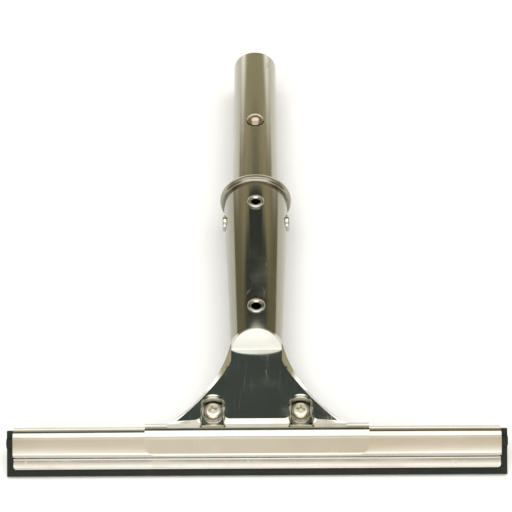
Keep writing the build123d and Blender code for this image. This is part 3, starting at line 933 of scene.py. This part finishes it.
    def make_rivet(self, node: str, proud: float) -> None:
        """Tubular rivet with a rolled rim round its eye.

        Args:
            node: The CAD rivet that it replaces.
            proud: How far its rim stands out of the sleeve.
        """
        station, away = self.station(node), self.outward(node)
        reach = self.sleeve_radius(station)
        rim, shank, eye = self.rivet_rim, self.rivet_shank, self.rivet_eye
        sink = rim**2 / (2 * reach) + 0.15 * MM
        tail = self.tube_radius - self.tube_wall if node != "lower_rivet" else self.sleeve_small - 3.5 * MM
        top = reach + proud
        corners = [(tail - 0.8 * MM, eye, 0.2 * MM), (tail - 0.8 * MM, shank, 0.3 * MM),
                   (reach - sink, shank, 0), (reach - sink, rim, 0), (top, rim, 0.75 * MM),
                   (top, rim - 1.2 * MM, 0.4 * MM), (top - 0.9 * MM, eye + 0.1 * MM, 0.3 * MM)]
        bm = lathe(rounded(corners, 8), self.axis_point(station), away, SMALL_STEPS)
        piece = finish_mesh(bm, node.replace("rivet", "eyelet"), self.finishes.fastener)
        seat(piece, "handle", "rivet_steel", node)

    def make_button(self) -> None:
        """Domed button with a flange that keeps it in the tube."""
        low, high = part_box("snap_button")
        flange = (high.x - low.x) / 2
        stem, rise, steps = self.button_stem, self.button_rise, 16
        base, top = low.z - self.axis_height, high.z - self.axis_height
        crown = (stem**2 + rise**2) / (2 * rise)
        dome = []
        for part in range(steps + 1):
            spread = (1 - part / steps) * stem
            dome.append((top - crown + sqrt(crown**2 - spread**2), spread))
        step = base + self.button_flange
        profile = [(base, 0), (base, flange), (step, flange), (step, stem), *dome]
        bm = lathe(profile, self.axis_point(self.station("snap_button")), Vector((0, 0, 1)), SMALL_STEPS)
        piece = finish_mesh(bm, "domed_snap_button", self.finishes.button)
        seat(piece, "button", "button_steel", "snap_button")

    def make(self) -> None:
        """Build and seat the handle's pieces."""
        self.make_sleeve()
        self.make_collar()
        self.make_tube()
        for node in self.window_names():
            self.make_rivet(node, 1.1 * MM)
        self.make_rivet("lower_rivet", 0.6 * MM)
        self.make_button()
        dress("button_spring", self.finishes.spring)


# ---- Studio ------------------------------------------------------------------------------
@dataclass
class Studio:
    """Pale floor, soft lights, plain surroundings and the camera."""

    elevation: float = radians(48.6)
    distance: float = 0.6443
    lens: float = 94.5
    roll: float = radians(-0.33)
    target: Vector = field(default_factory=lambda: Vector((0.0, 0.0028, 0.0003)))
    floor_reach: float = 6.0
    room_light: float = 2.1

    def floor(self) -> None:
        """Lay the floor that the squeegee lies on."""
        bm = bmesh.new()
        bmesh.ops.create_grid(bm, x_segments=1, y_segments=1, size=self.floor_reach)
        material = bpy.data.materials.new("pale_floor")
        material.use_nodes = True
        board = Board(material.node_tree)
        place = board.add("ShaderNodeTexCoord", output="Object")
        tone = board.noise(place, 3.0, 2.0)
        colour = board.mix(tone, (0.72, 0.725, 0.73, 1), (0.75, 0.755, 0.76, 1))
        shader = board.add("ShaderNodeBsdfPrincipled", None, Base_Color=colour, Roughness=0.9,
                           Specular_IOR_Level=0.1)
        board.add("ShaderNodeOutputMaterial", None, shader)
        finish_mesh(bm, "floor", material)

    def surroundings(self) -> None:
        """Soft studio room, with a white front, a bright ceiling strip, a darker rear and warm sides.

        The polish mirrors the room, and behind the floor only a plain pale backdrop shows.
        """
        world = bpy.data.worlds.new("studio")
        bpy.context.scene.world = world
        world.use_nodes = True
        board = Board(world.node_tree)
        place = board.add("ShaderNodeTexCoord", output="Generated")
        axes = [board.add("ShaderNodeSeparateXYZ", None, place, output=index) for index in range(3)]
        turn = axes[2].atan2(axes[1] * -1.0) / pi
        white, beige, tan = (1.0, 0.99, 0.96), (0.62, 0.57, 0.48), (0.51, 0.455, 0.365)
        taupe, dark, rear = (0.15, 0.14, 0.10), (0.034, 0.042, 0.037), (0.28, 0.255, 0.17)
        sides, backdrop = (0.15, 0.135, 0.085), (0.46, 0.46, 0.455)
        stops = [(0.0, white), (0.18, white), (0.195, beige), (0.21, tan), (0.235, tan), (0.26, beige),
                 (0.335, beige), (0.35, taupe), (0.375, white), (0.63, white), (0.66, dark), (0.735, dark),
                 (0.775, rear), (0.87, rear), (0.92, white), (1.0, white)]
        meridian = board.add("ShaderNodeValToRGB", {"stops": stops}, turn)
        room = board.mix(abs(axes[0]).step(0.48, 0.76), meridian, (*sides, 1))
        seen = board.add("ShaderNodeLightPath", output="Is Camera Ray")
        colour = board.mix(seen, room, (*backdrop, 1))
        light = board.add("ShaderNodeBackground", None, colour, self.room_light)
        board.add("ShaderNodeOutputWorld", None, light)

    def lamp(self, name: str, place: Sequence[float], size: float, watts: float) -> None:
        """Hang a square soft light that faces the squeegee and doesn't show in its polish.

        Args:
            name: The lamp's name.
            place: Where it hangs.
            size: The side of its square.
            watts: Its power.
        """
        data = bpy.data.lights.new(name, "AREA")
        data.shape = "SQUARE"
        data.size = size
        data.energy = watts
        lamp = bpy.data.objects.new(name, data)
        lamp.location = place
        lamp.rotation_euler = (-Vector(place)).to_track_quat("-Z", "Y").to_euler()
        lamp.visible_glossy = False
        bpy.context.scene.collection.objects.link(lamp)

    def camera(self) -> None:
        """Set the camera in front of the blade and above it."""
        back = Vector((0, -cos(self.elevation), sin(self.elevation)))
        data = bpy.data.cameras.new("camera")
        data.lens = self.lens
        data.sensor_width = 36.0
        data.clip_start, data.clip_end = 0.01, 50.0
        camera = bpy.data.objects.new("camera", data)
        camera.location = self.target + back * self.distance
        camera.rotation_mode = "QUATERNION"
        turn = (-back).to_track_quat("-Z", "Y")
        camera.rotation_quaternion = turn @ Matrix.Rotation(self.roll, 3, "Z").to_quaternion()
        bpy.context.scene.collection.objects.link(camera)
        bpy.context.scene.camera = camera

    def make(self) -> None:
        """Set up the whole studio."""
        self.floor()
        self.surroundings()
        self.lamp("key_light", (-0.5, -0.9, 1.6), 1.4, 14.0)
        self.lamp("fill_light", (0.9, 0.4, 1.5), 1.6, 9.0)
        self.camera()
        bpy.context.scene.view_settings.view_transform = "Standard"


def main() -> None:
    """Build the squeegee piece by piece."""
    logging.basicConfig(level=logging.INFO, format="%(name)s: %(message)s")
    studio = Studio()
    studio.make()
    finishes = Finishes()
    WipingBlade(BladeLine(), finishes).make()
    Yoke(finishes).make()
    Handle(finishes).make()


if __name__ == "__main__":
    main()
